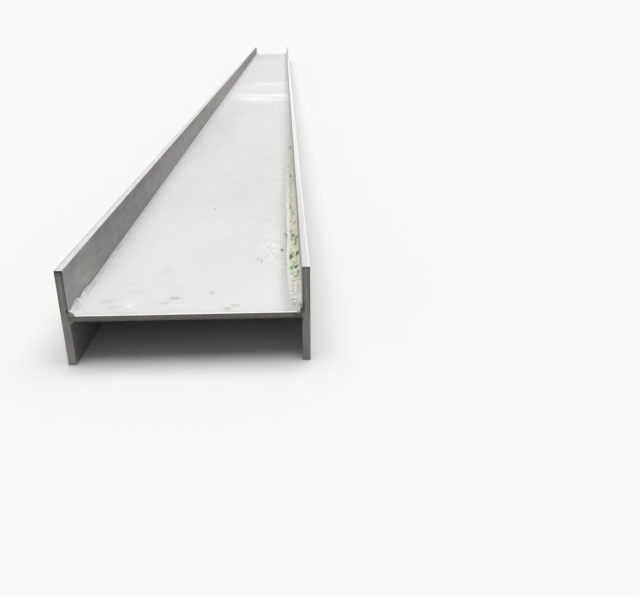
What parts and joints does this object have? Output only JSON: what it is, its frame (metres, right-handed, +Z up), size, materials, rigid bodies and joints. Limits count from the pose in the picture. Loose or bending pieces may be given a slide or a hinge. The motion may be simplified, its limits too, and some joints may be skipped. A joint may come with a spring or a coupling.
{
  "type": "steel h-beam",
  "caption": "Straight welded steel H-section beam: a flat web plate between two wider flange plates, joined by continuous fillet welds.",
  "frame": {"origin": "on the ground, under the middle of the beam's length and depth, level with the flange tips it lies on", "axes": "+Y along the beam towards its far end, +X across the web towards the right flange, +Z up from the ground, square to the web"},
  "size_m": [0.6, 12, 0.25],
  "materials": {
    "web_steel": "pale blast-cleaned grey with faint cloudy marks and dust",
    "flange_steel": "matte mid-grey mill finish with scuffs and cut edges",
    "weld_metal": "rippled grey weld metal"
  },
  "bodies": {
    "root": {"web_plate": "web_steel", "left_flange_plate": "flange_steel", "right_flange_plate": "flange_steel", "weld_upper_left": "weld_metal", "weld_upper_right": "weld_metal", "weld_lower_left": "weld_metal", "weld_lower_right": "weld_metal"}
  },
  "joints": []
}
